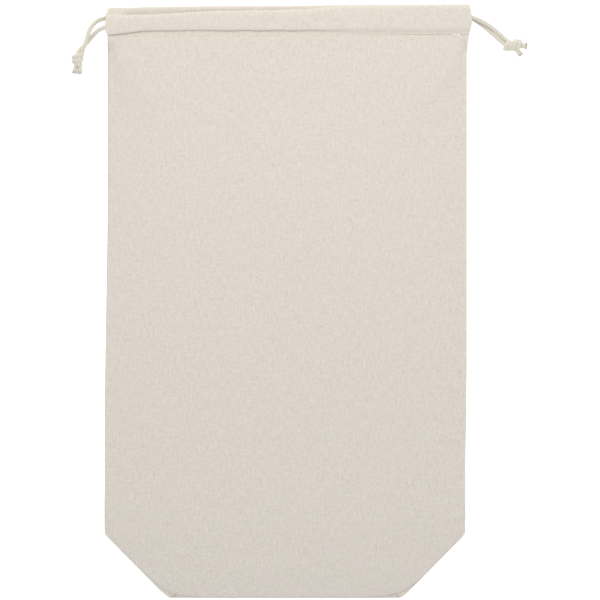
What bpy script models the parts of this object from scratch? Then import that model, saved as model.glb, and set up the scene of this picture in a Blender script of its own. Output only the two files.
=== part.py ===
"""Drawstring laundry bag in natural cotton, lying flat on its back panel.

The bag is two cloth panels with cut corners, sewn together down both sides, along the corners
and across the bottom. The top edge of each panel is turned inside and stitched down to make a
casing. Two cords run through both casings in opposite ways: each turns back at the far side
slit, and its two ends are knotted together outside its own slit.

Metres, +Z up, +Y towards the mouth, +X to the right of someone who looks down on the front
panel. The origin is on the surface under the middle of the bag.
"""

import math

import bpy
from mathutils import Vector

MM = 0.001

# The bag.
BAG_WIDTH = 356 * MM
BAG_LENGTH = 585 * MM
CORNER_WIDTH = 61.5 * MM
CORNER_HEIGHT = 64.5 * MM
CLOTH = 0.5 * MM
LAYER_GAP = 0.35 * MM
LAYER_STEP = CLOTH + LAYER_GAP
ALLOWANCE = 8 * MM

# The casings.
STITCH_Y = 258.5 * MM
SLIT_Y = STITCH_Y - 12 * MM
HEM_Y = STITCH_Y - 8 * MM
CHANNEL = 4.8 * MM
MOUTH_GAP = 4.4 * MM
TURNED_HALF_WIDTH = 165.5 * MM

# Threads.
OVERLOCK_RADIUS = 0.6 * MM
STITCH_RADIUS = 0.3 * MM
THREAD_GAP = 0.3 * MM
TACK_LENGTH = 11 * MM
TACK_OFFSET = 1.3 * MM

# The drawcords.
CORD_RADIUS = 2.1 * MM
CORD_POINT_STEP = 6 * CORD_RADIUS
CORD_POINT_TURN = math.radians(25)
FINE_STEPS = 24
RUN_END_X = 167.3 * MM
ARC_STEPS = 6

# Heights of the middle of each layer of cloth, from the surface up.
BACK_Z = CLOTH / 2
BACK_HEM_Z = BACK_Z + LAYER_STEP
ALLOWANCE_Z = BACK_Z + LAYER_STEP
FRONT_EDGE_Z = ALLOWANCE_Z + LAYER_STEP
CASING_HEIGHT = CHANNEL + CLOTH
BACK_CASING_Z = BACK_Z + CASING_HEIGHT
FRONT_HEM_Z = BACK_CASING_Z + CLOTH + MOUTH_GAP
FRONT_PANEL_Z = FRONT_HEM_Z + LAYER_STEP
FRONT_CASING_Z = FRONT_HEM_Z + CASING_HEIGHT

# The middle of the cloth at the bag's edges.
HALF_WIDTH = BAG_WIDTH / 2 - CLOTH / 2
TOP_Y = BAG_LENGTH / 2 - CLOTH / 2
BOTTOM_Y = -TOP_Y
CORNER_Y = BOTTOM_Y + CORNER_HEIGHT

BACK_CORD_Z = CLOTH + CHANNEL / 2
FRONT_CORD_Z = FRONT_HEM_Z + CASING_HEIGHT / 2

# The front panel rises from its seams to its full height over this distance.
RISE = 32 * MM
RISE_AT_SLIT = 12 * MM
RISE_CHANGE = 60 * MM

COTTON = ("natural_cotton", (0.74, 0.69, 0.60), 0.9)
THREAD = ("sewing_thread", (0.83, 0.78, 0.66), 0.7)
CORD = ("cotton_cord", (0.76, 0.72, 0.62), 0.85)


def clear_scene():
    for thing in list(bpy.data.objects):
        bpy.data.objects.remove(thing, do_unlink=True)


def material(look):
    """The Principled material of one of the looks above, made once."""
    name, colour, roughness = look
    made = bpy.data.materials.get(name)
    if made is None:
        made = bpy.data.materials.new(name)
        made.use_nodes = True
        shader = made.node_tree.nodes["Principled BSDF"]
        shader.inputs["Base Color"].default_value = (*colour, 1)
        shader.inputs["Roughness"].default_value = roughness
        shader.inputs["Metallic"].default_value = 0
    return made


def add_object(name, data, look, parent):
    made = bpy.data.objects.new(name, data)
    bpy.context.collection.objects.link(made)
    made.parent = parent
    data.materials.append(material(look))
    return made


def add_empty(name, location):
    made = bpy.data.objects.new(name, None)
    made.location = location
    bpy.context.collection.objects.link(made)
    return made


# --- the two cloth panels ---------------------------------------------------------------


def half_width(y):
    """Half the panel's width at this height: full width above the cut corners."""
    below = max(0.0, CORNER_Y - y) / CORNER_HEIGHT
    return HALF_WIDTH - CORNER_WIDTH * below


def seam_line(inset=0.0):
    """The seam from the left slit, round the bottom, to the right slit, moved inwards by inset."""
    corner_x = HALF_WIDTH - CORNER_WIDTH
    slope = math.atan2(CORNER_HEIGHT, CORNER_WIDTH)
    side_shift = inset * math.tan((math.pi / 2 - slope) / 2)
    bottom_shift = inset * math.tan(slope / 2)
    right = [
        (corner_x - bottom_shift, BOTTOM_Y + inset),
        (HALF_WIDTH - inset, CORNER_Y + side_shift),
        (HALF_WIDTH - inset, SLIT_Y),
    ]
    left = [(-x, y) for x, y in reversed(right)]
    return [Vector(point) for point in left + right]


def nearest_on_seam(point):
    """(distance, which stretch of the seam, share of the way along it) from a point."""
    line = seam_line()
    found = []
    for stretch, (start, end) in enumerate(zip(line, line[1:])):
        along = end - start
        share = min(1.0, max(0.0, (point - start).dot(along) / along.length_squared))
        found.append(((point - start - along * share).length, stretch, share))
    return min(found)


def moved_inwards(point, inset):
    """A point of the seam, moved to the same share of its stretch on the inset line."""
    stretch, share = nearest_on_seam(point)[1:]
    line = seam_line(inset)
    return line[stretch].lerp(line[stretch + 1], share)


def smooth(share):
    share = min(1.0, max(0.0, share))
    return share * share * (3 - 2 * share)


def front_height(x, y):
    """The height of the front panel's cloth below its casing: a low dome over the back panel."""
    reach = RISE_AT_SLIT + (RISE - RISE_AT_SLIT) * smooth((SLIT_Y - y) / RISE_CHANGE)
    share = min(1.0, nearest_on_seam(Vector((x, y)))[0] / reach)
    return FRONT_EDGE_Z + (FRONT_PANEL_Z - FRONT_EDGE_Z) * math.sin(share * math.pi / 2)


def back_height(*_):
    """The back panel lies flat on the surface all over."""
    return BACK_Z


def panel_rows():
    """Heights up the panel, closer together near the bottom seam and near the slits."""
    corner = [BOTTOM_Y + CORNER_HEIGHT * share for share in (0, 0.06, 0.16, 0.3, 0.5, 0.75)]
    steps = 6
    middle_top = SLIT_Y - RISE
    middle = [CORNER_Y + (middle_top - CORNER_Y) * k / steps for k in range(steps + 1)]
    upper = [SLIT_Y - RISE / 2, SLIT_Y - RISE / 4, SLIT_Y, SLIT_Y + RISE_AT_SLIT / 2]
    return corner + middle + upper


def panel_columns():
    """Shares of the half width, closer together near the sides."""
    right = (0.25, 0.5, 0.7, 0.82, 0.89, 0.94, 0.975, 1.0)
    return [-share for share in reversed(right)] + [0.0, *right]


def turned_profile(stitch_z, outer_z, inner_z):
    """(y, z, half width) of the rows that turn the top edge into a casing, from the stitch row
    up the outer layer, round the top fold and back down the inner layer to the raw edge."""
    radius = (outer_z - inner_z) / 2
    turn_y = TOP_Y - abs(radius)
    middle_z = (outer_z + inner_z) / 2
    outer = [
        (STITCH_Y, stitch_z),
        (STITCH_Y + 2 * MM, stitch_z),
        (STITCH_Y + 3.8 * MM, stitch_z + 0.3 * (outer_z - stitch_z)),
        (STITCH_Y + 5.3 * MM, stitch_z + 0.75 * (outer_z - stitch_z)),
        (STITCH_Y + 6.7 * MM, stitch_z + 0.97 * (outer_z - stitch_z)),
        (STITCH_Y + 9 * MM, outer_z),
        (turn_y - 10 * MM, outer_z),
        (turn_y, outer_z),
    ]
    fold = []
    for degrees in (60, 30, 0, -30, -60, -90):
        angle = math.radians(degrees)
        fold.append((turn_y + abs(radius) * math.cos(angle), middle_z + radius * math.sin(angle)))
    rows = [(y, z, HALF_WIDTH) for y, z in outer + fold]
    return rows, turn_y


def front_casing_rows():
    rows, turn_y = turned_profile(FRONT_PANEL_Z, FRONT_CASING_Z, FRONT_HEM_Z)
    inner = (turn_y - 1 * MM, turn_y - 12 * MM, STITCH_Y + 6 * MM, STITCH_Y, HEM_Y)
    return rows + [(y, FRONT_HEM_Z, TURNED_HALF_WIDTH) for y in inner]


def back_casing_rows():
    """The back panel's outer layer stays flat on the surface, and its inner layer comes down."""
    rows, turn_y = turned_profile(BACK_Z, BACK_Z, BACK_CASING_Z)
    drop = BACK_CASING_Z - BACK_HEM_Z
    inner = [
        (turn_y - 1 * MM, BACK_CASING_Z),
        (turn_y - 12 * MM, BACK_CASING_Z),
        (STITCH_Y + 9 * MM, BACK_CASING_Z),
        (STITCH_Y + 6.7 * MM, BACK_CASING_Z - 0.05 * drop),
        (STITCH_Y + 4.5 * MM, BACK_CASING_Z - 0.5 * drop),
        (STITCH_Y + 2.5 * MM, BACK_CASING_Z - 0.93 * drop),
        (STITCH_Y, BACK_HEM_Z),
        (HEM_Y, BACK_HEM_Z),
    ]
    return rows + [(y, z, TURNED_HALF_WIDTH) for y, z in inner]


def panel_sheet(name, height, casing_rows, has_allowance):
    """One piece of cloth as an open surface: the panel, its casing and, on the front panel, the
    seam allowance that is folded in all round below the slits."""
    columns, rows = panel_columns(), panel_rows()
    points = []
    for y in rows:
        width = half_width(y)
        points += [(width * share, y, height(width * share, y)) for share in columns]
    for y, z, width in casing_rows:
        points += [(width * share, y, z) for share in columns]
    across, up = len(columns), len(rows) + len(casing_rows)
    faces = []
    for row in range(up - 1):
        for column in range(across - 1):
            corner = row * across + column
            faces.append((corner, corner + 1, corner + across + 1, corner + across))

    rim = []
    if has_allowance:
        slit_row = rows.index(SLIT_Y)
        left = [row * across for row in range(slit_row, 0, -1)]
        right = [row * across + across - 1 for row in range(1, slit_row + 1)]
        rim = [*left, *range(across), *right]
    first = len(points)
    for here in [Vector(points[index][:2]) for index in rim]:
        inner = moved_inwards(here, ALLOWANCE)
        points += [(here.x, here.y, ALLOWANCE_Z), (inner.x, inner.y, ALLOWANCE_Z)]
    for k in range(len(rim) - 1):
        fold, next_fold = first + 2 * k, first + 2 * k + 2
        faces.append((rim[k + 1], rim[k], fold, next_fold))
        faces.append((next_fold, fold, fold + 1, next_fold + 1))
    sheet = bpy.data.meshes.new(name)
    sheet.from_pydata(points, [], faces)
    return sheet


def add_panel(name, height, casing_rows, has_allowance, bag):
    sheet = panel_sheet(name, height, casing_rows, has_allowance)
    panel = add_object(name, sheet, COTTON, bag)
    thickness = panel.modifiers.new("cloth", "SOLIDIFY")
    thickness.thickness = CLOTH
    thickness.offset = 0
    thickness.use_even_offset = True
    return panel


# --- threads ----------------------------------------------------------------------------


def add_tube(name, points, radius, look, parent, sides=2):
    """A round tube through these points, with flat ends."""
    origin = parent.location
    curve = bpy.data.curves.new(name, "CURVE")
    curve.dimensions = "3D"
    curve.bevel_depth = radius
    curve.bevel_resolution = sides
    curve.use_fill_caps = True
    line = curve.splines.new("POLY")
    line.points.add(len(points) - 1)
    for control, point in zip(line.points, points):
        control.co = (*(Vector(point) - origin), 1)
    line.use_smooth = True
    return add_object(name, curve, look, parent)


def add_seams(bag):
    """The overlock thread along the raw edge of the seam allowance, inside the bag."""
    names = ("left_side_seam", "left_corner_seam", "bottom_seam", "right_corner_seam")
    names += ("right_side_seam",)
    height = CLOTH + THREAD_GAP + OVERLOCK_RADIUS
    line = seam_line(ALLOWANCE + THREAD_GAP + OVERLOCK_RADIUS + CLOTH / 2)
    end_gap = 1 * MM
    for name, start, end in zip(names, line, line[1:]):
        along = (end - start).normalized() * end_gap
        ends = [(*(start + along), height), (*(end - along), height)]
        add_tube(name, ends, OVERLOCK_RADIUS, THREAD, bag)


def add_stitch_rows(bag):
    """The row of stitches that closes each casing, and the tack at its right end. The front
    ones lie on the front of the bag, the back ones inside it on the turned edge."""
    half_row = HALF_WIDTH - 2 * MM
    above = CLOTH / 2 + THREAD_GAP + STITCH_RADIUS
    sides = (
        ("front", FRONT_PANEL_Z + above, TACK_OFFSET),
        ("back", BACK_HEM_Z + above, -TACK_OFFSET),
    )
    for side, z, shift in sides:
        reach = half_row if side == "front" else TURNED_HALF_WIDTH - 2 * MM
        row = [(-reach, STITCH_Y, z), (reach, STITCH_Y, z)]
        tack_y = STITCH_Y + shift
        tack = [(reach - TACK_LENGTH, tack_y, z), (reach, tack_y, z)]
        add_tube(f"{side}_casing_stitch", row, STITCH_RADIUS, THREAD, bag)
        add_tube(f"{side}_casing_tack", tack, STITCH_RADIUS, THREAD, bag)


# --- the drawcords ----------------------------------------------------------------------

# Each cord leaves its slit in two strands that lie down on the surface and meet in a knot.
# The points are in millimetres, from the end of the run in the casing to the knot.
LEFT_FRONT_TAIL = (
    (-158, 268.3, 13.1),
    (-171, 268.5, 13.1),
    (-178.2, 268.7, 12.6),
    (-183.5, 266.4, 10.0),
    (-187.4, 263.3, 6.6),
    (-190.9, 259.7, 3.6),
    (-194.3, 255.6, 2.3),
    (-198.6, 251.2, 2.3),
    (-202.0, 247.8, 2.5),
    (-203.7, 245.2, 3.5),
)
LEFT_BACK_TAIL = (
    (110, 278.3, 2.9),
    (-158, 278.3, 2.9),
    (-170, 278.0, 2.9),
    (-177.0, 278.5, 3.0),
    (-182.9, 277.0, 3.6),
    (-187.6, 273.8, 4.7),
    (-191.3, 269.3, 5.8),
    (-193.7, 263.9, 6.7),
    (-195.2, 258.2, 7.2),
    (-197.0, 252.9, 7.1),
    (-198.7, 248.6, 6.7),
    (-199.6, 245.3, 6.2),
)
RIGHT_FRONT_TAIL = (
    (-115, 276.6, 13.1),
    (158, 280.7, 13.1),
    (170, 280.6, 13.1),
    (178.0, 280.2, 12.8),
    (185.4, 278.4, 11.0),
    (193.2, 275.0, 7.8),
    (201.3, 270.4, 4.8),
    (209.3, 264.3, 3.3),
    (214.9, 259.1, 4.0),
    (218.2, 256.2, 4.7),
)
RIGHT_BACK_TAIL = (
    (154, 287.4, 2.9),
    (166, 287.3, 2.9),
    (174.0, 284.9, 2.9),
    (184.4, 278.4, 2.6),
    (191.6, 273.3, 2.4),
    (199.7, 266.9, 2.3),
    (207.6, 259.8, 2.6),
    (213.0, 254.7, 3.9),
    (215.6, 252.2, 4.4),
)

# Heights across the casing where the far end of each cord turns back: in front, behind.
LEFT_TURN_Y = (268.6 * MM, 281.6 * MM)
RIGHT_TURN_Y = (273.3 * MM, 286.0 * MM)


def far_turn(front_y, back_y, way):
    """The half circle in which a cord turns back at the far slit, from the front casing's
    channel to the back casing's. way is 1 for a turn at the right slit, -1 at the left."""
    front = Vector((way * RUN_END_X, front_y, FRONT_CORD_Z))
    back = Vector((way * RUN_END_X, back_y, BACK_CORD_Z))
    middle, spoke = (front + back) / 2, (front - back) / 2
    outward = Vector((way * spoke.length, 0, 0))
    arc = []
    for k in range(ARC_STEPS + 1):
        angle = math.pi * k / ARC_STEPS
        arc.append(middle + spoke * math.cos(angle) + outward * math.sin(angle))
    return arc


def cord_route(front_tail, back_tail, turn_y, way):
    """The cord from its knot through the front casing, round the far turn and back."""
    front = [Vector(point) * MM for point in front_tail]
    back = [Vector(point) * MM for point in back_tail]
    arc = far_turn(*turn_y, way)
    lead = 12 * MM
    before, after = arc[0].copy(), arc[-1].copy()
    before.x -= way * lead
    after.x -= way * lead
    return [*reversed(front), before, *arc, after, *back]


def smooth_line(points):
    """Closely spaced points on one smooth curve through all of these: a Catmull-Rom curve
    whose speed follows the square root of the spacing, so that it never loops or overshoots."""
    ends = [2 * points[0] - points[1], *points, 2 * points[-1] - points[-2]]
    line = []
    for a, b, c, d in zip(ends, ends[1:], ends[2:], ends[3:]):
        ab, bc, cd = (math.sqrt((q - p).length) for p, q in ((a, b), (b, c), (c, d)))
        leave = ((b - a) / ab - (c - a) / (ab + bc) + (c - b) / bc) * bc
        reach = ((c - b) / bc - (d - b) / (bc + cd) + (d - c) / cd) * bc
        for k in range(FINE_STEPS):
            t = k / FINE_STEPS
            u = 1 - t
            line.append(
                b * (u * u * (1 + 2 * t))
                + leave * (t * u * u)
                - reach * (t * t * u)
                + c * (t * t * (3 - 2 * t))
            )
    return [*line, points[-1]]


def tube_points(points):
    """The tube's own points on the smooth curve: one for each step of length or of turning."""
    line = smooth_line(points)
    chosen, gone = [line[0]], 0.0
    for before, here, after in zip(line, line[1:], line[2:]):
        gone += (here - before).length / CORD_POINT_STEP
        gone += (here - before).angle(after - here, 0.0) / CORD_POINT_TURN
        if gone >= 1:
            chosen.append(here)
            gone = 0.0
    return [*chosen, line[-1]]


def add_knot(name, middle, axis, radii, parent):
    """The knot as one lumpy ball along axis, with shallow grooves where the cord is wrapped."""
    rings, sides = 10, 16
    along = Vector(axis).normalized()
    up = Vector((0, 0, 1))
    across = up.cross(along).normalized()
    up = along.cross(across)
    length, width, height = radii
    points = []
    for ring in range(1, rings):
        polar = math.pi * ring / rings
        for side in range(sides):
            turn = 2 * math.pi * side / sides
            groove = 1 - 0.08 * (0.5 - 0.5 * math.cos(4 * polar + turn)) * math.sin(polar)
            place = along * (length * math.cos(polar))
            place += across * (width * math.sin(polar) * math.cos(turn) * groove)
            place += up * (height * math.sin(polar) * math.sin(turn) * groove)
            points.append(place)
    first, last = len(points), len(points) + 1
    points += [along * length, along * -length]
    faces = []
    for ring in range(rings - 2):
        for side in range(sides):
            here, beyond = ring * sides + side, ring * sides + (side + 1) % sides
            faces.append((here, here + sides, beyond + sides, beyond))
    for side in range(sides):
        beyond = (side + 1) % sides
        faces.append((first, side, beyond))
        base = (rings - 2) * sides
        faces.append((last, base + beyond, base + side))
    mesh = bpy.data.meshes.new(name)
    mesh.from_pydata(points, [], faces)
    mesh.shade_smooth()
    knot = add_object(name, mesh, CORD, parent)
    knot.location = Vector(middle) - parent.location


def add_drawcord(side, tails, turn_y, knot, ends):
    """One drawcord with its knot and its two cut ends, all under the slit it is pulled from."""
    way = 1 if side == "left" else -1
    front_tail, back_tail = tails
    slit = add_empty(f"{side}_pull", Vector(front_tail[0]) * MM)
    route = cord_route(front_tail, back_tail, turn_y, way)
    add_tube(f"{side}_drawcord", tube_points(route), CORD_RADIUS, CORD, slit)
    middle, axis, radii = knot
    add_knot(f"{side}_knot", Vector(middle) * MM, axis, [r * MM for r in radii], slit)
    for place, points in zip(("front", "back"), ends):
        line = [Vector(point) * MM for point in points]
        add_tube(f"{side}_{place}_end", line, CORD_RADIUS, CORD, slit)


LEFT_KNOT = ((-204.0, 238.2, 5.8), (-0.12, -1, 0), (5.5, 5.9, 5.5))
LEFT_ENDS = (
    ((-207.3, 232.0, 4.2), (-207.7, 228.6, 3.0), (-207.9, 224.9, 2.4)),
    ((-202.4, 232.1, 4.6), (-202.3, 228.4, 3.6), (-202.0, 224.6, 2.6)),
)
RIGHT_KNOT = ((223.8, 250.0, 5.9), (1, -0.72, 0), (6.9, 6.3, 5.6))
RIGHT_ENDS = (
    ((232.5, 249.4, 4.6), (234.8, 249.2, 3.9), (237.6, 249.6, 3.2)),
    ((227.7, 243.0, 4.3), (229.1, 241.0, 3.5), (230.6, 238.6, 2.9)),
)


def build():
    clear_scene()
    bag = add_empty("bag", Vector((0, 0, 0)))
    add_panel("front_panel", front_height, front_casing_rows(), True, bag)
    add_panel("back_panel", back_height, back_casing_rows(), False, bag)
    add_seams(bag)
    add_stitch_rows(bag)
    left_tails = (LEFT_FRONT_TAIL, LEFT_BACK_TAIL)
    right_tails = (RIGHT_FRONT_TAIL, RIGHT_BACK_TAIL)
    add_drawcord("left", left_tails, LEFT_TURN_Y, LEFT_KNOT, LEFT_ENDS)
    add_drawcord("right", right_tails, RIGHT_TURN_Y, RIGHT_KNOT, RIGHT_ENDS)


build()
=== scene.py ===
"""Drawstring laundry bag of natural cotton, lying flat on a pale floor and seen from above.

The cloth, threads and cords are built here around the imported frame, in its coordinates: +Z up,
+Y towards the mouth, +X to the right of someone who looks down on the front panel. Lengths in
this file are in millimetres until a mesh is made from them.
"""

import math
import random

import bpy
import numpy as np
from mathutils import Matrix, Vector


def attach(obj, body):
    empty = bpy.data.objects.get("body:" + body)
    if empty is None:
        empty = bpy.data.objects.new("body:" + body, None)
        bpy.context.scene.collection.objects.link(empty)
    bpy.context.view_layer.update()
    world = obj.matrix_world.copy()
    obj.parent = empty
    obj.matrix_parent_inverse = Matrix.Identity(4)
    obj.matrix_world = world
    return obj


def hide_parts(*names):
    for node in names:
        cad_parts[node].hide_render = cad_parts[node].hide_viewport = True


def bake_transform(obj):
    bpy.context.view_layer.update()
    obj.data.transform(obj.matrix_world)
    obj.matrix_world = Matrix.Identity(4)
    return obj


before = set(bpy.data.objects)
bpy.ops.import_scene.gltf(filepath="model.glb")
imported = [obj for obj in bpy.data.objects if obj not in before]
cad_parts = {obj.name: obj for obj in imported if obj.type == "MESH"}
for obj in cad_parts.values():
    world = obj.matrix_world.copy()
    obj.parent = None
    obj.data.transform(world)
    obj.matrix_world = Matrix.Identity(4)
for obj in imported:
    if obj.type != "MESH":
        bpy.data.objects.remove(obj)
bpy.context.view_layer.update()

MM = 0.001

# The view: straight down from far away, so that nothing leans.
VIEW_WIDTH = 0.591
VIEW_CENTRE = (0.0143, 0.001)
CAMERA_HEIGHT = 5.0
SENSOR = 36.0

# The light: an even, faintly blue surround, and a warm lamp beyond the mouth.
SURROUND_COLOUR = (0.955, 0.97, 1.0, 1)
SURROUND_STRENGTH = 0.835
LAMP_PLACE = (0.05, 0.78, 1.15)
LAMP_SIZE = 0.6
LAMP_COLOUR = (1.0, 0.96, 0.84)
LAMP_POWER = 6.3
FLOOR_COLOUR = (0.93, 0.93, 0.93, 1)
FLOOR_GLOW = 0.6

# The cloth: its thickness, the outline of the sewn panels, and how their edges are turned in.
CLOTH = 0.3
PANEL_RUN = 549.0  # from the bottom to the row of stitches
BOTTOM_Y = -291.2
BACK_BOTTOM_Y = -292.4
CORNER_Y = -229.6
CORNER_SLOPE = 0.99
CORNER_ROUNDING = 1.2
SLIT_Y = 246.5
HEM_Y = 250.5
TURNED_SHARE = 0.93  # the inside of a casing's width, as a share of the outside's
HEM_WIDTH = 7.5
FOLD_RADIUS = 0.19

# The cloth's half width at rest, over which its columns are spread.
GATHER_HALF_WIDTH = 177.75

# Heights of the middle of the cloth, and how far in from the seams and slits the dome rises.
BACK_Z = 0.16
BACK_CASING_Z = 5.7
EDGE_Z = 0.95
RIDGE = 1.3  # how high the seam's soft edge stands
PANEL_Z = 11.15
CASING_RISE = 4.75  # the front casing's top above the panel
LIP_REACH = 266.35  # the highest y of the lip's crook, below the cord
STITCH_LIFT = 1.0
DOME_REACH = 75.0
SLIT_REACH = 12.0
BACK_FLAT_BELOW = 26.0  # how far below its fold the back panel lies flat on the floor
CASING_STEPS = 3

# Lines across the bag from left to right, as a few (x, y) places each.
FRONT_FOLD = (
    (-178, 280.6),
    (-155, 280.8),
    (-132, 281.6),
    (-94, 283.4),
    (-60, 285.0),
    (-20, 285.5),
    (14, 286.4),
    (40, 288.2),
    (64, 289.4),
    (113, 290.2),
    (178, 291.4),
)
FRONT_LIP = (
    (-178, 261.6),
    (-163, 263.0),
    (-143, 265.0),
    (-125, 265.9),
    (-106, 266.2),
    (-80, 266.1),
    (-20, 266.1),
    (178, 266.1),
)
STITCH_LINE = ((-178, 257.6), (0, 257.6), (90, 257.7), (118, 259.1), (147, 260.0), (178, 260.9))
BACK_FOLD = ((-178, 288.5), (-133, 289.6), (-84, 290.3), (0, 290.8), (54, 291.4), (178, 292.3))

# The threads.
THREAD_RADIUS = 0.36
TACK_RADIUS = 0.45
STITCH_STEP = 4.5
STITCH_LENGTH = 3.4
FRONT_STITCH_END = 173.0
BACK_STITCH_END = 161.0
BACK_STITCH_Y = 258.5
OVERLOCK_RADIUS = 0.16
OVERLOCK_LOOP = 2.8
OVERLOCK_Y = (-224.0, 244.0)
SEAM_INSET = 9.4  # from the edge of the bag to the raw edges inside

# The drawcords: sizes, the turn of each at the far slit, and each tail from the casing to the knot.
CORD_RADIUS = 2.1
FLUFF = 0.05  # what loose fibres add to the radius
RUN_END_X = 167.3
LEFT_TURN_Y = (268.6, 281.6)
RIGHT_TURN_Y = (273.3, 286.0)
FRONT_CORD_Z = 13.1
INTO_KNOT = 2.6  # how far a tail goes on inside its knot
BACK_CORD_Z = 2.9
LEFT_FRONT_TAIL = (
    (-158, 268.3, 13.1),
    (-171, 268.5, 13.1),
    (-178.2, 268.7, 12.6),
    (-183.5, 266.4, 10.0),
    (-187.4, 263.3, 6.6),
    (-190.9, 259.7, 3.6),
    (-194.3, 255.6, 2.3),
    (-198.6, 251.2, 2.3),
    (-202.0, 247.8, 2.5),
    (-203.7, 245.2, 3.5),
)
LEFT_BACK_TAIL = (
    (110, 278.3, 2.9),
    (-158, 278.3, 2.9),
    (-170, 278.0, 2.9),
    (-177.0, 278.5, 3.0),
    (-182.9, 277.0, 3.6),
    (-187.6, 273.8, 4.7),
    (-191.3, 269.3, 5.8),
    (-193.7, 263.9, 6.7),
    (-195.2, 258.2, 7.2),
    (-197.0, 252.9, 7.1),
    (-198.7, 248.6, 6.7),
    (-199.6, 245.3, 6.2),
)
RIGHT_FRONT_TAIL = (
    (-115, 276.6, 13.1),
    (158, 280.7, 13.1),
    (170, 280.6, 13.1),
    (178.0, 280.2, 12.8),
    (185.4, 278.4, 11.0),
    (193.2, 275.0, 7.8),
    (201.3, 270.4, 4.8),
    (209.3, 264.3, 3.3),
    (214.9, 259.1, 4.0),
    (218.2, 256.2, 4.7),
)
RIGHT_BACK_TAIL = (
    (154, 287.4, 2.9),
    (166, 287.3, 2.9),
    (174.0, 284.9, 2.9),
    (184.4, 278.4, 2.6),
    (191.6, 273.3, 2.4),
    (199.7, 266.9, 2.3),
    (207.6, 259.8, 2.6),
    (213.2, 255.0, 3.9),
    (215.9, 252.6, 4.4),
)

# A knot: its axis, its core (middle, half length, half width) and its wraps (middle, half width,
# half height, strands, their radius, and how far the wrap leans along the axis).
LEFT_KNOT = (
    (-0.05, -1, 0),
    ((-204.4, 238.0, 5.7), 6.4, 5.2),
    (
        ((-204.5, 238.9, 5.9), 6.3, 5.6, 2, 2.5, -1.3),
        ((-204.0, 232.9, 4.9), 4.7, 4.6, 1, 2.3, 0.4),
    ),
)
RIGHT_KNOT = (
    (1, -0.08, 0),
    ((223.2, 251.2, 5.5), 8.4, 4.9),
    (
        ((219.6, 251.0, 5.7), 5.6, 5.4, 2, 2.4, 1.0),
        ((227.3, 251.9, 5.9), 6.4, 5.6, 2, 2.4, 0.9),
    ),
)

# A frayed end: its line from the knot outwards, how much it spreads, and a seed.
LEFT_ENDS = (
    (((-205.8, 233.0, 4.4), (-206.7, 229.8, 4.0), (-207.4, 227.0, 3.3), (-207.7, 224.3, 2.9)), 0.2, 3),
    (((-202.9, 233.0, 4.8), (-202.6, 229.8, 4.2), (-202.5, 227.0, 3.5), (-202.6, 223.9, 2.9)), 0.5, 4),
)
RIGHT_ENDS = (
    (((229.0, 251.8, 5.2), (232.4, 251.4, 4.8), (235.0, 251.3, 4.0), (237.6, 251.5, 3.2)), 1.2, 5),
    (((226.0, 248.6, 4.6), (228.4, 246.2, 4.2), (230.2, 244.2, 3.5), (231.9, 242.0, 3.0)), 0.6, 6),
)
STUB_RADIUS = 2.0
YARNS = 90
GOLDEN_ANGLE = 2.399963


# --- camera, light and floor --------------------------------------------------------------------


def add_object(name, data):
    made = bpy.data.objects.new(name, data)
    bpy.context.collection.objects.link(made)
    return made


def add_camera():
    data = bpy.data.cameras.new("camera")
    data.sensor_width = SENSOR
    data.lens = SENSOR * CAMERA_HEIGHT / VIEW_WIDTH
    data.clip_end = 100
    camera = add_object("camera", data)
    camera.location = (*VIEW_CENTRE, CAMERA_HEIGHT)
    bpy.context.scene.camera = camera


def add_lamp():
    """A round soft light that points at the bag."""
    data = bpy.data.lights.new("key", "AREA")
    data.shape = "DISK"
    data.size = LAMP_SIZE
    data.color = LAMP_COLOUR
    data.energy = LAMP_POWER
    lamp = add_object("key", data)
    lamp.location = LAMP_PLACE
    lamp.rotation_euler = (-Vector(LAMP_PLACE)).to_track_quat("-Z", "Y").to_euler()


def add_stage():
    """An even white surround, one soft light from beyond the mouth, and a pale floor."""
    world = bpy.data.worlds.new("studio")
    world.use_nodes = True
    surround = world.node_tree.nodes["Background"]
    surround.inputs["Color"].default_value = SURROUND_COLOUR
    surround.inputs["Strength"].default_value = SURROUND_STRENGTH
    bpy.context.scene.world = world
    bpy.context.scene.view_settings.view_transform = "Standard"
    add_lamp()

    half = 15.0
    mesh = bpy.data.meshes.new("floor")
    corners = [(-half, -half, 0), (half, -half, 0), (half, half, 0), (-half, half, 0)]
    mesh.from_pydata(corners, [], [(0, 1, 2, 3)])
    look = bpy.data.materials.new("pale_floor")
    look.use_nodes = True
    shader = look.node_tree.nodes["Principled BSDF"]
    shader.inputs["Base Color"].default_value = FLOOR_COLOUR
    shader.inputs["Roughness"].default_value = 1.0
    shader.inputs["Specular IOR Level"].default_value = 0.0
    shader.inputs["Emission Color"].default_value = (1, 1, 1, 1)
    shader.inputs["Emission Strength"].default_value = FLOOR_GLOW
    mesh.materials.append(look)
    add_object("floor", mesh)


# --- materials ----------------------------------------------------------------------------------


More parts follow.
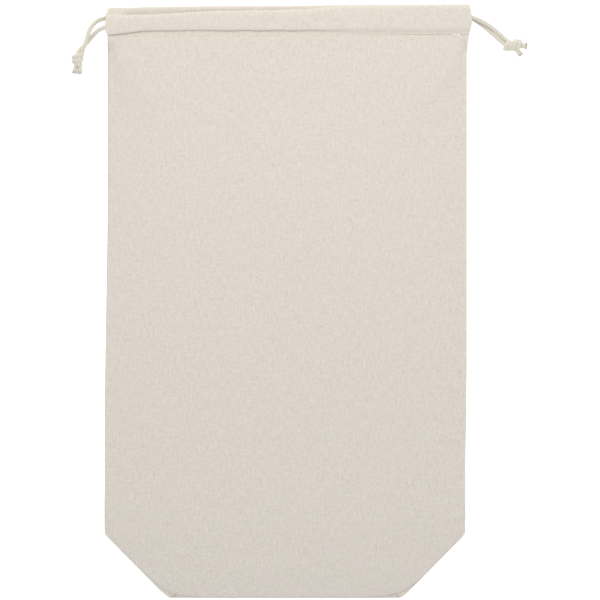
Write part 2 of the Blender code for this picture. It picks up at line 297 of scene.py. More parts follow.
class Look:
    """A Principled material and short ways to add nodes to it. Its texture coordinates are in
    millimetres of cloth, or turns round and millimetres along a cord or thread."""

    def __init__(self, name, uv_name, **sockets):
        self.material = bpy.data.materials.new(name)
        self.material.use_nodes = True
        self.tree = self.material.node_tree
        self.shader = self.tree.nodes["Principled BSDF"]
        for socket, value in sockets.items():
            self.shader.inputs[socket.replace("_", " ")].default_value = value
        self.uv = self.node("ShaderNodeUVMap", uv_map=uv_name).outputs["UV"]

    def node(self, kind, inputs=None, **settings):
        made = self.tree.nodes.new(kind)
        for setting, value in settings.items():
            setattr(made, setting, value)
        for socket, value in (inputs or {}).items():
            if isinstance(value, bpy.types.NodeSocket):
                self.tree.links.new(value, made.inputs[socket])
            else:
                made.inputs[socket].default_value = value
        return made

    def math(self, operation, first, second=0.0):
        inputs = {0: first, 1: second}
        return self.node("ShaderNodeMath", inputs, operation=operation).outputs[0]

    def noise(self, scale_u, scale_v, detail=2.0, shift=0.0):
        """Noise whose grains are about 1 / scale_u by 1 / scale_v millimetres."""
        place = self.node(
            "ShaderNodeMapping",
            {"Vector": self.uv, "Scale": (scale_u, scale_v, 1), "Location": (shift, shift, 0)},
        )
        inputs = {"Vector": place.outputs[0], "Scale": 1.0, "Detail": detail}
        return self.node("ShaderNodeTexNoise", inputs).outputs["Fac"]

    def spread(self, value, low, high, to_low, to_high):
        inputs = {"Value": value, "From Min": low, "From Max": high}
        inputs |= {"To Min": to_low, "To Max": to_high}
        return self.node("ShaderNodeMapRange", inputs).outputs["Result"]

    def mix(self, share, first, second):
        made = self.node("ShaderNodeMix", data_type="RGBA")
        for socket, value in ((0, share), (6, first), (7, second)):
            if isinstance(value, bpy.types.NodeSocket):
                self.tree.links.new(value, made.inputs[socket])
            else:
                made.inputs[socket].default_value = value if socket == 0 else (*value, 1)
        return made.outputs[2]

    def bump(self, height, distance, strength=1.0, under=None):
        inputs = {"Height": height, "Distance": distance, "Strength": strength}
        if under is not None:
            inputs["Normal"] = under
        return self.node("ShaderNodeBump", inputs).outputs["Normal"]

    def finish(self, colour, normal, roughness=None):
        self.tree.links.new(colour, self.shader.inputs["Base Color"])
        self.tree.links.new(normal, self.shader.inputs["Normal"])
        if roughness is not None:
            self.tree.links.new(roughness, self.shader.inputs["Roughness"])
        return self.material


def cotton_look():
    """Plain-woven unbleached cotton: fine threads, uneven yarn that shows as short streaks along
    and across, faint warm and grey patches, and small darker flecks of seed."""
    look = Look(
        "natural_cotton_weave",
        "cloth",
        Roughness=0.88,
        Specular_IOR_Level=0.25,
        Sheen_Weight=0.12,
        Sheen_Roughness=0.5,
    )
    pitch = 0.45
    split = look.node("ShaderNodeSeparateXYZ", {0: look.uv})
    across = look.math("SINE", look.math("MULTIPLY", split.outputs[0], math.pi / pitch))
    along = look.math("SINE", look.math("MULTIPLY", split.outputs[1], math.pi / pitch))
    weave = look.math("MULTIPLY", across, along)
    warp = look.noise(0.85, 0.10, 3.0)
    weft = look.noise(0.12, 0.8, 3.0, 40.0)
    grain = look.noise(0.42, 0.33, 4.0, 80.0)
    patches = look.noise(0.035, 0.028, 3.0, 120.0)

    yarn = look.math("ADD", look.math("MULTIPLY", warp, 0.62), look.math("MULTIPLY", weft, 0.38))
    tone = look.math("ADD", look.math("MULTIPLY", yarn, 0.6), look.math("MULTIPLY", grain, 0.4))
    colour = look.mix(
        look.spread(tone, 0.38, 0.62, 0.0, 1.0), (0.615, 0.560, 0.503), (0.762, 0.708, 0.645)
    )
    hue = look.spread(look.noise(0.30, 0.16, 2.0, 160.0), 0.38, 0.62, 0.0, 1.0)
    tint = look.mix(hue, (0.690, 0.618, 0.575), (0.662, 0.655, 0.540))
    colour = look.mix(0.22, colour, tint)
    warmth = look.spread(patches, 0.35, 0.65, 0.0, 1.0)
    colour = look.mix(look.math("MULTIPLY", warmth, 0.14), colour, (0.735, 0.655, 0.600))
    fleck = look.spread(look.noise(0.42, 0.30, 1.0, 200.0), 0.705, 0.76, 0.0, 0.34)
    colour = look.mix(fleck, colour, (0.44, 0.36, 0.27))
    fine = look.spread(weave, -1.0, 1.0, 0.0, 0.05)
    colour = look.mix(fine, colour, (0.52, 0.47, 0.40))

    threads = look.bump(weave, 0.05 * MM, 0.5)
    slubs = look.bump(tone, 0.45 * MM, 0.8, threads)
    rough = look.spread(grain, 0.3, 0.7, 0.82, 0.95)
    return look.finish(colour, slubs, rough)


def cord_look():
    """Soft braided cotton: slanting strands both ways round the cord, with a little fluff, and painted
    shade in the grooves between the strands.
    """
    look = Look(
        "soft_cotton_cord",
        "cord",
        Roughness=0.9,
        Specular_IOR_Level=0.2,
        Sheen_Weight=0.25,
        Sheen_Roughness=0.5,
    )
    strands, lay = 6, 3.4375
    split = look.node("ShaderNodeSeparateXYZ", {0: look.uv})
    turn = look.math("MULTIPLY", split.outputs[0], math.pi * strands)
    run = look.math("MULTIPLY", split.outputs[1], 2 * math.pi / lay)
    one_way = look.math("SINE", look.math("ADD", turn, run))
    other_way = look.math("SINE", look.math("SUBTRACT", turn, run))
    braid = look.math("MAXIMUM", one_way, other_way)
    fluff = look.noise(9.0, 1.4, 3.0)
    colour = look.mix(
        look.spread(fluff, 0.3, 0.7, 0.0, 1.0), (0.628, 0.590, 0.510), (0.738, 0.702, 0.618)
    )
    # Painted shade: the cord is darkened a little in the grooves between its strands.
    painted_groove_shade = look.spread(braid, -0.2, 1.0, 0.10, 0.0)
    colour = look.mix(painted_groove_shade, colour, (0.42, 0.36, 0.29))
    normal = look.bump(braid, 0.12 * MM, 0.5)
    return look.finish(colour, look.bump(fluff, 0.2 * MM, 0.4, normal))


def thread_look():
    """Twisted cream thread, a little brighter and yellower than the cloth, with painted shade in the
    grooves of its twist and painted highlights on its crests.
    """
    look = Look("cream_thread", "cord", Roughness=0.6, Sheen_Weight=0.15)
    split = look.node("ShaderNodeSeparateXYZ", {0: look.uv})
    turn = look.math("MULTIPLY", split.outputs[0], 4 * math.pi)
    run = look.math("MULTIPLY", split.outputs[1], 2 * math.pi / 0.9)
    twist = look.math("SINE", look.math("ADD", turn, run))
    # Painted light and shade: the thread is darker in the grooves of its twist and lighter on its
    # crests.
    colour = look.mix(
        look.spread(twist, -1.0, 1.0, 0.0, 1.0), (0.81, 0.775, 0.66), (0.89, 0.86, 0.755)
    )
    return look.finish(colour, look.bump(twist, 0.05 * MM, 0.5))


# --- lines and tubes ----------------------------------------------------------------------------


def ease(share):
    """From 0 to 1 along an S curve as share goes from 0 to 1."""
    share = np.clip(share, 0.0, 1.0)
    return share * share * (3 - 2 * share)


def through(places, x):
    """The height at x of a smooth line through a few (x, y) places."""
    at, height = np.array(places, float).T
    slope = np.gradient(height, at)
    k = np.clip(np.searchsorted(at, x) - 1, 0, len(at) - 2)
    width = at[k + 1] - at[k]
    t = np.clip((x - at[k]) / width, 0.0, 1.0)
    u = 1 - t
    ends = (1 + 2 * t) * u * u * height[k] + t * t * (3 - 2 * t) * height[k + 1]
    return ends + width * t * u * (u * slope[k] - t * slope[k + 1])


def smooth_line(points, steps):
    """Closely spaced points on one smooth curve through all of these: a Catmull-Rom curve whose
    speed follows the square root of the spacing. A point may be a whole row of points."""
    points = [np.asarray(point, float) for point in points]
    ends = [2 * points[0] - points[1], *points, 2 * points[-1] - points[-2]]
    line = []
    for a, b, c, d in zip(ends, ends[1:], ends[2:], ends[3:]):
        pairs = ((a, b), (b, c), (c, d))
        gaps = [np.sqrt(np.linalg.norm(q - p, axis=-1, keepdims=True)) for p, q in pairs]
        ab, bc, cd = (np.maximum(gap, 1e-4) for gap in gaps)
        leave = ((b - a) / ab - (c - a) / (ab + bc) + (c - b) / bc) * bc
        reach = ((c - b) / bc - (d - b) / (bc + cd) + (d - c) / cd) * bc
        for k in range(steps):
            t = k / steps
            u = 1 - t
            line.append(
                b * (u * u * (1 + 2 * t))
                + leave * (t * u * u)
                - reach * (t * t * u)
                + c * (t * t * (3 - 2 * t))
            )
    return [*line, points[-1]]


def evenly(line, spacing):
    """Points along a line, about this far apart."""
    line = np.array(line, float)
    gone = np.concatenate([[0], np.cumsum(np.linalg.norm(np.diff(line, axis=0), axis=1))])
    count = max(2, round(gone[-1] / spacing) + 1)
    wanted = np.linspace(0, gone[-1], count)
    return np.stack([np.interp(wanted, gone, line[:, axis]) for axis in range(3)], axis=1)


class Shape:
    """Tubes and lumps that together become one mesh."""

    def __init__(self):
        self.points, self.faces, self.uvs = [], [], []

    def tube(self, line, radius, sides=12):
        """A closed round tube along a line, with one radius or one for each point."""
        line = np.array(line, float)
        radii = np.broadcast_to(radius, len(line))
        ways = np.gradient(line, axis=0)
        ways /= np.linalg.norm(ways, axis=1, keepdims=True)
        gone = np.concatenate([[0], np.cumsum(np.linalg.norm(np.diff(line, axis=0), axis=1))])
        up = np.array([0.0, 0.0, 1.0]) if abs(ways[0][2]) < 0.9 else np.array([1.0, 0.0, 0.0])
        turns = 2 * np.pi * np.arange(sides) / sides
        first = len(self.points)
        for place, way, r in zip(line, ways, radii):
            up = up - way * up.dot(way)
            up /= np.linalg.norm(up)
            side = np.cross(way, up)
            ring = place + r * (np.outer(np.cos(turns), side) + np.outer(np.sin(turns), up))
            self.points += ring.tolist()
        for ring in range(len(line) - 1):
            for k in range(sides):
                here = first + ring * sides + k
                beyond = first + ring * sides + (k + 1) % sides
                self.faces.append((here, beyond, beyond + sides, here + sides))
                low, high = gone[ring], gone[ring + 1]
                near, far = k / sides, (k + 1) / sides
                self.uvs += [(near, low), (far, low), (far, high), (near, high)]
        for ring, way, place, at in ((0, -1, line[0], 0), (len(line) - 1, 1, line[-1], gone[-1])):
            middle = len(self.points)
            self.points.append((place + way * ways[ring] * 0.25 * radii[ring]).tolist())
            for k in range(sides):
                here = first + ring * sides + k
                beyond = first + ring * sides + (k + 1) % sides
                face = (middle, here, beyond) if way > 0 else (middle, beyond, here)
                self.faces.append(face)
                self.uvs += [(0.5, at), (k / sides, at), ((k + 1) / sides, at)]

    def lump(self, middle, axes, rings=10, sides=16):
        """A ball squeezed to the lengths of its three axes, given as vectors."""
        middle = np.array(middle, float)
        along, across, up = (np.array(axis, float) for axis in axes)
        first = len(self.points)
        for ring in range(1, rings):
            polar = math.pi * ring / rings
            for k in range(sides):
                turn = 2 * math.pi * k / sides
                place = along * math.cos(polar)
                place = place + across * (math.sin(polar) * math.cos(turn))
                place = place + up * (math.sin(polar) * math.sin(turn))
                self.points.append((middle + place).tolist())
        tip, tail = len(self.points), len(self.points) + 1
        self.points += [(middle + along).tolist(), (middle - along).tolist()]
        for ring in range(rings - 2):
            for k in range(sides):
                here = first + ring * sides + k
                beyond = first + ring * sides + (k + 1) % sides
                self.faces.append((here, here + sides, beyond + sides, beyond))
                self.uvs += [(k / sides, ring), (k / sides, ring + 1)]
                self.uvs += [((k + 1) / sides, ring + 1), ((k + 1) / sides, ring)]
        base = first + (rings - 2) * sides
        for k in range(sides):
            beyond = (k + 1) % sides
            self.faces.append((tip, first + k, first + beyond))
            self.faces.append((tail, base + beyond, base + k))
            self.uvs += [(0.5, 0), (0, 0), (1, 0)] * 2

    def make(self, name, look):
        mesh = bpy.data.meshes.new(name)
        mesh.from_pydata((np.array(self.points) * MM).tolist(), [], self.faces)
        layer = mesh.uv_layers.new(name="cord")
        layer.data.foreach_set("uv", np.array(self.uvs, np.float32).ravel())
        mesh.shade_smooth()
        mesh.materials.append(look)
        return add_object(name, mesh)


# --- baking a piece's placement into its mesh ---------------------------------------------------


def follow_pull(piece):
    """Bakes a piece's placement into its mesh and reads its points back in millimetres; nothing uses
    these points."""
    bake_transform(piece)
    count = len(piece.data.vertices)
    places = np.zeros(count * 3, np.float32)
    piece.data.vertices.foreach_get("co", places)
    places = places.reshape(-1, 3) / MM
    return piece


# --- the cloth ----------------------------------------------------------------------------------


def growing_steps(total, first, last, growth=1.3):
    """Distances from 0 to total whose steps grow from first to last."""
    places, step = [0.0], first
    while places[-1] < total:
        places.append(places[-1] + step)
        step = min(last, step * growth)
    return np.array(places) * total / places[-1]


def column_shares(step):
    """Shares of the half width from the left edge to the right, close together at the edges. A
    very narrow column on each side of the middle keeps the shading even where the halves meet."""
    right = 1 - growing_steps(1.0, 0.25 / GATHER_HALF_WIDTH, step / GATHER_HALF_WIDTH)[::-1]
    right[0] = 0.02 / GATHER_HALF_WIDTH
    return np.concatenate([-right[::-1], [0.0], right])


def front_reach(y, side):
    """The front panel's half width on one side at this height, above the cut corners."""
    if side < 0:
        width = 174.1 + 4.0 * ease((120 - y) / 260)
        return width + 2.5 * ease((y - 261) / 4)
    width = 178.5 - 1.6 * ease((-60 - y) / 120)
    return width + 4.6 * np.exp(-(((y - 277) / 15) ** 2))


def back_reach(y, side):
    """The same for the back panel."""
    if side < 0:
        return 175.2 + 3.1 * ease((120 - y) / 260)
    return 178.4 - 1.0 * ease((-100 - y) / 60) + 1.6 * ease((y - 262) / 20)


def cut_corner(y, bottom):
    """How much narrower each side is at this height because of the cut corner."""
    below = CORNER_ROUNDING * np.logaddexp(0, (CORNER_Y - y) / CORNER_ROUNDING)
    return CORNER_SLOPE * below + 2.5 * np.exp(-np.abs(y - bottom) / 2)


def spread_out(shares, y, reach, bottom):
    """The x of each share of the half width at height y."""
    return shares * (np.where(shares < 0, reach(y, -1), reach(y, 1)) - cut_corner(y, bottom))


def seam_distance(x, y, reach, bottom):
    """Distance from the seam, which goes from slit to slit round the bottom."""
    beside = np.where(x < 0, reach(y, -1), reach(y, 1)) - np.abs(x)
    beyond_slit = np.maximum(0, y - SLIT_Y)
    corner = (beside - CORNER_SLOPE * (CORNER_Y - y)) / math.hypot(1, CORNER_SLOPE)
    soft = 7.0
    near = [np.hypot(np.maximum(beside, 0), beyond_slit), corner, y - bottom]
    return np.maximum(0, -soft * np.logaddexp.reduce([-each / soft for each in near]))


def undulation(x, y):
    """Slow waves of cloth that was laid down by hand."""
    wave = np.sin(x / 41 + 1.3 * np.sin(y / 97)) * np.sin(y / 63 + 0.8 * np.sin(x / 71))
    return 0.6 * wave + 0.4 * np.sin(x / 23 - y / 57 + 0.7) * np.sin(y / 37 + x / 120)


def front_height(x, y, distance):
    """The front panel's height: a soft seam, steeper at the bottom and the right cut corner, then
    a low dome that is flat on top."""
    near_slit = 1 - ease((SLIT_Y - y) / 90)
    reach = DOME_REACH + (SLIT_REACH - DOME_REACH) * near_slit
    dome = np.sin(np.clip(distance / reach, 0, 1) * math.pi / 2)
    steep = ease((x + 140) / 30) * ease((-y - 240) / 30)
    ridge = RIDGE * (1 + 0.9 * steep) * (1 - np.exp(-distance / (1.2 - 0.7 * steep)))
    height = EDGE_Z + ridge + (PANEL_Z - EDGE_Z - RIDGE) * dome
    along_seam = np.where(y < CORNER_Y, x + y, y)
    pucker = 0.22 * np.exp(-((distance - 7) ** 2) / 30)
    height = height + pucker * np.sin(along_seam / 2.3 + 1.5 * np.sin(along_seam / 17))
    height = height + STITCH_LIFT * ease((y - 185) / 70)
    return height + 0.28 * undulation(x, y) * ease((distance - 8) / 40)


def stitch_ripple(x):
    """Small waves in the cloth beside a row of stitches, one for about three stitches."""
    return 0.12 * np.sin(x / 2.1 + 1.2 * np.sin(x / 31))


def lip_shape(x, lip):
    """How far the front casing's lower lip hangs over, and how much of a lip there is. The cord
    lies in the crook of it."""
    return np.minimum(3.2, LIP_REACH - lip), 1 - ease((x - 10) / 70)


def front_casing(x):
    """(y, z) of the front casing from the stitch row up its outside, round the top fold and down
    the inside to the raw edge, and the share of the full width that each row has."""
    stitch, lip, fold = (through(line, x) for line in (STITCH_LINE, FRONT_LIP, FRONT_FOLD))
    lip = lip - 0.25 * (1 + np.sin(x / 6.5 + 2 * np.sin(x / 37)))
    fold = fold + 0.2 * np.sin(x / 8 + 2 * np.sin(x / 29))
    over, strong = lip_shape(x, lip)
    hanging = (
        (lip + over - 1.0, 0.25),
        (lip + over + 0.1, 0.95),
        (lip + 0.45 * over, 1.6),
        (lip + 0.05, 2.45),
        (lip + 0.4, 3.45),
        (lip + 2.2, 4.3),
        (lip + 5.5, 4.6),
    )
    plain = (
        (lip - 4.0, 0.5),
        (lip - 2.6, 1.2),
        (lip - 1.3, 2.0),
        (lip - 0.2, 2.9),
        (lip + 1.0, 3.8),
        (lip + 3.0, 4.5),
        (lip + 6.5, 4.75),
    )
    rows = [(stitch, -0.25), (stitch + 1.2, -0.02), (stitch + 3, 0.06)]
    for (y_hang, z_hang), (y_plain, z_plain) in zip(hanging, plain):
        rows.append((y_plain + strong * (y_hang - y_plain), z_plain + strong * (z_hang - z_plain)))
    ripple = stitch_ripple(x) + 0.2 * np.sin(x / 27 + 1.0)
    rows = [(y, z + STITCH_LIFT * (1 - z / CASING_RISE)) for y, z in rows]
    rows.append((fold - 9.0, CASING_RISE + ripple))
    rows.append((fold - 4.5, CASING_RISE - 0.1 + ripple))
    for step, height in ((-1.2, 3.6), (0.0, 2.1), (-1.2, 0.6), (-3.5, -0.35), (-9.0, -0.55)):
        rows.append((fold + step, height))
    rows += [(stitch + 8, -0.58), (stitch, -0.6), (HEM_Y, -0.62)]
    outside = len(rows) - 6
    widths = [1.0] * outside + [1.0, 0.985] + [TURNED_SHARE] * 4
    return [(y, PANEL_Z + z) for y, z in rows], widths


def back_casing(x):
    """The same for the back casing, whose outside lies on the floor."""
    fold = through(BACK_FOLD, x)
    rise = BACK_CASING_Z - BACK_Z
    flare = 2.9 * ease((-x - 158) / 10)
    rows = [
        (fold - BACK_FLAT_BELOW, 0.0),
        (fold - 8, 0.0),
        (fold - 2.8, 0.06),
        (fold - 0.7, 0.28),
        (fold, 0.52),
        (fold - 0.7, 0.8),
        (fold - 2.8, 1.0),
    ]
    rows = [(y, BACK_Z + rise * z) for y, z in rows]
    rows.append((fold - 6.5, BACK_CASING_Z + 0.6 * flare))
    rows.append((280.5, BACK_CASING_Z + flare))
    inside = ((276, 0.99), (268, 0.97), (265.5, 0.9), (263.5, 0.6), (261.5, 0.25), (258.5, 0.16))
    inside += ((254, 0.15), (HEM_Y, 0.14))
    rows += [(y, BACK_Z + rise * z) for y, z in inside]
    widths = [1.0] * 9 + [TURNED_SHARE] * 8
    return rows, widths


def casing_grid(rows, widths, shares, reach, bottom):
    """The casing's rows as points, with smooth rows between them. A row's y or z may be one
    number for the whole row."""
    edges = []
    for (y, z), width in zip(rows, widths):
        x = spread_out(shares, y, reach, bottom)
        edges.append(np.stack(np.broadcast_arrays(x * width, y, z), axis=1))
    return smooth_line(edges, CASING_STEPS)


def unit_normals(grid):
    """The upward normal at each point of a grid."""
    normals = np.cross(np.gradient(grid, axis=1), np.gradient(grid, axis=0))
    return normals / np.linalg.norm(normals, axis=2, keepdims=True)


def turned_in(edge, normals, outwards):
    """The rows that fold an edge under itself, from the edge inwards."""
    out = np.array(outwards, float)
    under = edge - 2 * FOLD_RADIUS * normals
    return [
        edge + FOLD_RADIUS * (out - normals),
        under,
        under - out * HEM_WIDTH * 0.4,
        under - out * HEM_WIDTH,
    ]


def with_hems(grid):
    """The grid with its bottom edge and its side edges folded under."""
    rows = turned_in(grid[0], unit_normals(grid)[0], (0, -1, 0))
    grid = np.concatenate([np.stack(rows[::-1]), grid])
    normals = unit_normals(grid)
    left = turned_in(grid[:, 0], normals[:, 0], (-1, 0, 0))
    right = turned_in(grid[:, -1], normals[:, -1], (1, 0, 0))
    return np.concatenate([np.stack(left[::-1], axis=1), grid, np.stack(right, axis=1)], axis=1)


def add_cloth(name, grid, normals, look):
    """A closed sheet of cloth with this grid as its middle surface."""
    rows, columns = grid.shape[:2]
    count = rows * columns
    layers = [grid + normals * CLOTH / 2, grid - normals * CLOTH / 2]
    points = np.concatenate([layer.reshape(-1, 3) for layer in layers]) * MM
    faces = []
    for row in range(rows - 1):
        for here in range(row * columns, row * columns + columns - 1):
            faces.append((here, here + 1, here + columns + 1, here + columns))
            under = here + count
            faces.append((under, under + columns, under + columns + 1, under + 1))
    smooth = len(faces)
    rim = list(range(columns))
    rim += [row * columns + columns - 1 for row in range(1, rows)]
    rim += [(rows - 1) * columns + column for column in range(columns - 2, -1, -1)]
    rim += [row * columns for row in range(rows - 2, 0, -1)]
    for here, beyond in zip(rim, rim[1:] + rim[:1]):
        faces.append((beyond, here, here + count, beyond + count))
    mesh = bpy.data.meshes.new(name)
    mesh.from_pydata(points.tolist(), [], faces)
    mesh.polygons.foreach_set("use_smooth", [True] * smooth + [False] * (len(faces) - smooth))
    gone = np.cumsum(np.linalg.norm(np.diff(grid, axis=0, prepend=grid[:1]), axis=2), axis=0)
    flat = np.stack([grid[:, :, 0], gone], axis=2).reshape(-1, 2)
    corners = np.zeros(len(mesh.loops), np.int32)
    mesh.loops.foreach_get("vertex_index", corners)
    layer = mesh.uv_layers.new(name="cloth")
    layer.data.foreach_set("uv", flat[corners % count].astype(np.float32).ravel())
    mesh.materials.append(look)
    mesh.update()
    return add_object(name, mesh)


def add_panel(name, node, grid, look):
    """One cloth panel, made as two halves that meet in the middle of the bag."""
    normals = unit_normals(grid)
    middle = grid.shape[1] // 2
    for side, columns in (("left", slice(0, middle + 1)), ("right", slice(middle, None))):
        piece = add_cloth(f"{name}_{side}", grid[:, columns], normals[:, columns], look)
        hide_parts(node)
        follow_pull(piece)


def front_grid():
    """The front panel's middle surface: rows from the bottom to the stitches, then the casing."""
    shares = column_shares(2.3)
    x_flat = shares * GATHER_HALF_WIDTH
    stitch = through(STITCH_LINE, x_flat)
    up = growing_steps(1.0, 0.3 / PANEL_RUN, 3.2 / PANEL_RUN)
    near_top = 1 - growing_steps(0.02, 0.7 / PANEL_RUN, 2.0 / PANEL_RUN)[::-1]
    shares_up = np.concatenate([up[up < 0.978], near_top])
    rows = []
    for share in shares_up[:-1]:
        y = BOTTOM_Y + (stitch - BOTTOM_Y) * share
        x = spread_out(shares, y, front_reach, BOTTOM_Y)
        distance = seam_distance(x, y, front_reach, BOTTOM_Y)
        z = front_height(x, y, distance)
        near = np.exp(-(((stitch - y) / 16) ** 2))
        z = z + near * stitch_ripple(x)
        z = z + (PANEL_Z + STITCH_LIFT - z) * ease(1 - (stitch - y) / 4)
        z = z - 0.2 * np.exp(-(((stitch - y) / 0.9) ** 2))
        rows.append(np.stack([x, y, z], axis=1))
    casing, widths = front_casing(x_flat)
    rows += casing_grid(casing, widths, shares, front_reach, BOTTOM_Y)
    return with_hems(np.stack(rows))


def back_grid():
    """The back panel's middle surface, made in the same way."""
    shares = column_shares(3.6)
    x_flat = shares * GATHER_HALF_WIDTH
    top = through(BACK_FOLD, x_flat) - BACK_FLAT_BELOW
    rows = []
    for share in growing_steps(1.0, 0.3 / PANEL_RUN, 4.5 / PANEL_RUN)[:-1]:
        y = BACK_BOTTOM_Y + (top - BACK_BOTTOM_Y) * share
        x = spread_out(shares, y, back_reach, BACK_BOTTOM_Y)
        distance = seam_distance(x, y, back_reach, BACK_BOTTOM_Y)
        z = BACK_Z + 0.12 * (1 + undulation(x, y)) * ease((distance - 4) / 30)
        z = BACK_Z + (z - BACK_Z) * ease((top - y) / 30)
        rows.append(np.stack([x, y, z], axis=1))
    casing, widths = back_casing(x_flat)
    rows += casing_grid(casing, widths, shares, back_reach, BACK_BOTTOM_Y)
    return np.stack(rows)


# --- threads ------------------------------------------------------------------------------------


def front_stitch_y(x):
    return float(through(STITCH_LINE, np.array(x)))


def back_stitch_y(x):
    """The back casing's stitches lie on one straight line, whatever x is."""
    return BACK_STITCH_Y


def add_stitches(shape, start, end, stitch_y, height, radius=THREAD_RADIUS, shift=0.0):
    """Separate stitches from start to end, each a short thread that dips into the cloth."""
    count = int((end - start) / STITCH_STEP)
    chance = random.Random(7)
    for k in range(count):
        left = start + k * STITCH_STEP + 0.2 * chance.random()
        points = []
        for t in (0.0, 0.08, 0.25, 0.5, 0.75, 0.92, 1.0):
            x = left + STITCH_LENGTH * t
            dip = 0.5 * (2 * abs(t - 0.5)) ** 4
            points.append((x, stitch_y(x) + shift + 0.12 * chance.random(), height - dip))
        shape.tube(smooth_line(points, 2), radius, 8)


def add_casing_threads(look):
    """The stitch row of each casing, in two halves, and the back-tack at its right end."""
    front_z = PANEL_Z + STITCH_LIFT - 0.2 + CLOTH / 2 + THREAD_RADIUS * 0.8
    back_z = BACK_Z + 0.16 * (BACK_CASING_Z - BACK_Z) + CLOTH / 2 + THREAD_RADIUS * 0.8
    rows = (
        ("front", front_z, front_stitch_y, FRONT_STITCH_END),
        ("back", back_z, back_stitch_y, BACK_STITCH_END),
    )
    for side, height, stitch_y, end in rows:
        for half, start, stop in (("left", -end, 0.4), ("right", 0.4, end - 6)):
            row = Shape()
            add_stitches(row, start, stop, stitch_y, height)
            piece = row.make(f"{side}_stitches_{half}", look)
            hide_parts(f"{side}_casing_stitch")
            follow_pull(piece)
        tack = Shape()
        for shift in (0.9, 1.5):
            add_stitches(tack, end - 9, end + 3.8, stitch_y, height + 0.15, TACK_RADIUS, shift)
        piece = tack.make(f"{side}_back_tack", look)
        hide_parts(f"{side}_casing_tack")
        follow_pull(piece)


def add_overlock(side, look):
    """The overlock stitch along the raw edge of a side seam: two threads that loop round it."""
    way = -1 if side == "left" else 1
    low, high = OVERLOCK_Y
    seam = Shape()
    for phase, radius in ((0.0, 0.62), (math.pi, 0.5)):
        line = []
        for k in range(int((high - low) / OVERLOCK_LOOP * 8)):
            y = low + k * OVERLOCK_LOOP / 8
            x = way * (front_reach(y, way) - SEAM_INSET)
            turn = 2 * math.pi * k / 8 + phase
            line.append((x + radius * math.cos(turn), y, 1.25 + 0.55 * math.sin(turn)))
        seam.tube(line, OVERLOCK_RADIUS, 5)
    piece = seam.make(f"{side}_overlock", look)
    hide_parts(f"{side}_side_seam")
    follow_pull(piece)


# --- drawcords, knots and frayed ends -----------------------------------------------------------


def far_turn(front_y, back_y, way):
    """The half circle in which a cord turns back at the far slit, as in the frame."""
    front = np.array((way * RUN_END_X, front_y, FRONT_CORD_Z))
    back = np.array((way * RUN_END_X, back_y, BACK_CORD_Z))
    middle, spoke = (front + back) / 2, (front - back) / 2
    outward = np.array((way * np.linalg.norm(spoke), 0, 0))
    steps = 6
    turns = [math.pi * k / steps for k in range(steps + 1)]
    return [middle + spoke * math.cos(turn) + outward * math.sin(turn) for turn in turns]


def cord_line(front_tail, back_tail, turn_y, way):
    """The cord from its knot through the front casing, round the far turn and back."""
    arc = far_turn(*turn_y, way)
    lead = np.array((way * 12.0, 0, 0))
    route = [*reversed(front_tail), arc[0] - lead, *arc, arc[-1] - lead, *back_tail]
    return evenly(smooth_line([into_knot(route), *route, into_knot(route[::-1])], 24), 1.4)


def into_knot(route):
    """A point beyond the first one of a route, inside the knot that the cord goes into."""
    way = np.subtract(route[0], route[1])
    return np.array(route[0]) + way / np.linalg.norm(way) * INTO_KNOT


def add_wrap(knot, middle, axis, width, height, strands, radius, lean):
    """Strands side by side, taken once round a knot across its axis and tucked in underneath."""
    middle = np.array(middle, float)
    along = np.array(axis, float) / np.linalg.norm(axis)
    up = np.array((0.0, 0.0, 1.0))
    across = np.cross(up, along)
    steps = 40
    for k in range(strands):
        shift = (k - (strands - 1) / 2) * 1.65 * radius
        line = []
        for step in range(steps + 1):
            t = step / steps
            turn = math.pi * (2.4 * t - 0.7)
            out = 0.35 + 0.65 * float(ease(3.5 * min(t, 1 - t)))
            sideways, upwards = out * math.cos(turn), out * math.sin(turn)
            place = middle + along * (shift + lean * math.cos(turn))
            place = place + across * ((width - radius) * sideways)
            line.append(place + up * ((height - radius) * upwards))
        knot.tube(line, radius, 14)


def add_knot(name, axis, core, wraps, look):
    """An overhand knot tied in both strands: they wrap round it side by side over a full core."""
    knot = Shape()
    middle, half_length, half_width = core
    along = np.array(axis, float) / np.linalg.norm(axis)
    up = np.array((0.0, 0.0, 1.0))
    knot.lump(middle, (along * half_length, np.cross(up, along) * half_width, up * half_width))
    for place, width, height, strands, radius, lean in wraps:
        add_wrap(knot, place, axis, width, height, strands, radius, lean)
    return knot.make(name, look)


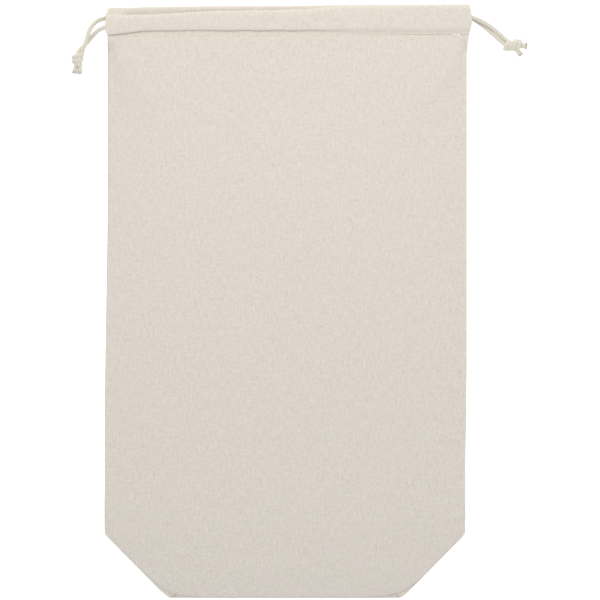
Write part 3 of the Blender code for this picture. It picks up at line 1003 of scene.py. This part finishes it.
def add_fray(name, points, spread, look, seed):
    """A cut cord end: a short stub that opens out into a brush of loose yarns, which start on a
    spiral so that they fill the cut evenly."""
    chance = random.Random(seed)
    line = evenly(smooth_line(points, 8), 0.5)
    along = line[-1] - line[0]
    length = np.linalg.norm(along)
    along = along / length
    across = np.cross((0.0, 0.0, 1.0), along)
    up = np.cross(along, across)
    stub = Shape()
    share = np.linspace(0, 1, len(line))
    cut = len(line) * 4 // 5
    stub.tube(line[:cut], STUB_RADIUS + spread * share[:cut], 14)
    start, full = line[cut - 2], STUB_RADIUS + spread
    for k in range(YARNS):
        turn = GOLDEN_ANGLE * k
        out = full * math.sqrt((k + 0.5) / YARNS)
        outwards = across * math.cos(turn) + up * math.sin(turn)
        base = start + outwards * (out - 0.2)
        reach = length * (0.12 + 0.22 * chance.random())
        loose = outwards * (0.25 * out * chance.random()) + across * (0.6 * (chance.random() - 0.5))
        yarn = [base, base + along * reach * 0.5 + loose * 0.4, base + along * reach + loose]
        yarn = [np.array((p[0], p[1], max(p[2], 0.4))) for p in yarn]
        stub.tube(smooth_line(yarn, 3), np.linspace(0.32, 0.22, 7), 6)
    return stub.make(name, look)


def add_drawcord(side, tails, turn_y, knot, ends, look):
    """One drawcord with its knot and its two frayed ends."""
    body = f"{side}_cord"
    way = 1 if side == "left" else -1
    path = cord_line(*tails, turn_y, way)
    cord = Shape()
    cord.tube(path, CORD_RADIUS + FLUFF, 14)
    made = cord.make(f"{side}_cord_loop", look)
    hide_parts(f"{side}_drawcord")
    wraps = add_knot(f"{side}_overhand_knot", *knot, look)
    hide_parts(f"{side}_knot")
    pieces = [wraps]
    for place, (points, spread, seed) in zip(("front", "back"), ends):
        end = add_fray(f"{side}_{place}_fray", points, spread, look, seed)
        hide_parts(f"{side}_{place}_end")
        pieces.append(end)
    for piece in (made, *pieces):
        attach(piece, body)


def main():
    add_camera()
    add_stage()
    cord, cotton, thread = cord_look(), cotton_look(), thread_look()
    left_tails, right_tails = (LEFT_FRONT_TAIL, LEFT_BACK_TAIL), (RIGHT_FRONT_TAIL, RIGHT_BACK_TAIL)
    add_drawcord("left", left_tails, LEFT_TURN_Y, LEFT_KNOT, LEFT_ENDS, cord)
    add_drawcord("right", right_tails, RIGHT_TURN_Y, RIGHT_KNOT, RIGHT_ENDS, cord)
    add_panel("front_cloth", "front_panel", front_grid(), cotton)
    add_panel("back_cloth", "back_panel", back_grid(), cotton)
    add_casing_threads(thread)
    for side in ("left", "right"):
        add_overlock(side, thread)
    # The seams round the bottom are inside the bag, so they keep the frame's shape.
    for node in ("left_corner_seam", "bottom_seam", "right_corner_seam"):
        seam = bpy.data.objects[node]
        seam.material_slots[0].link = "OBJECT"
        seam.material_slots[0].material = thread


main()
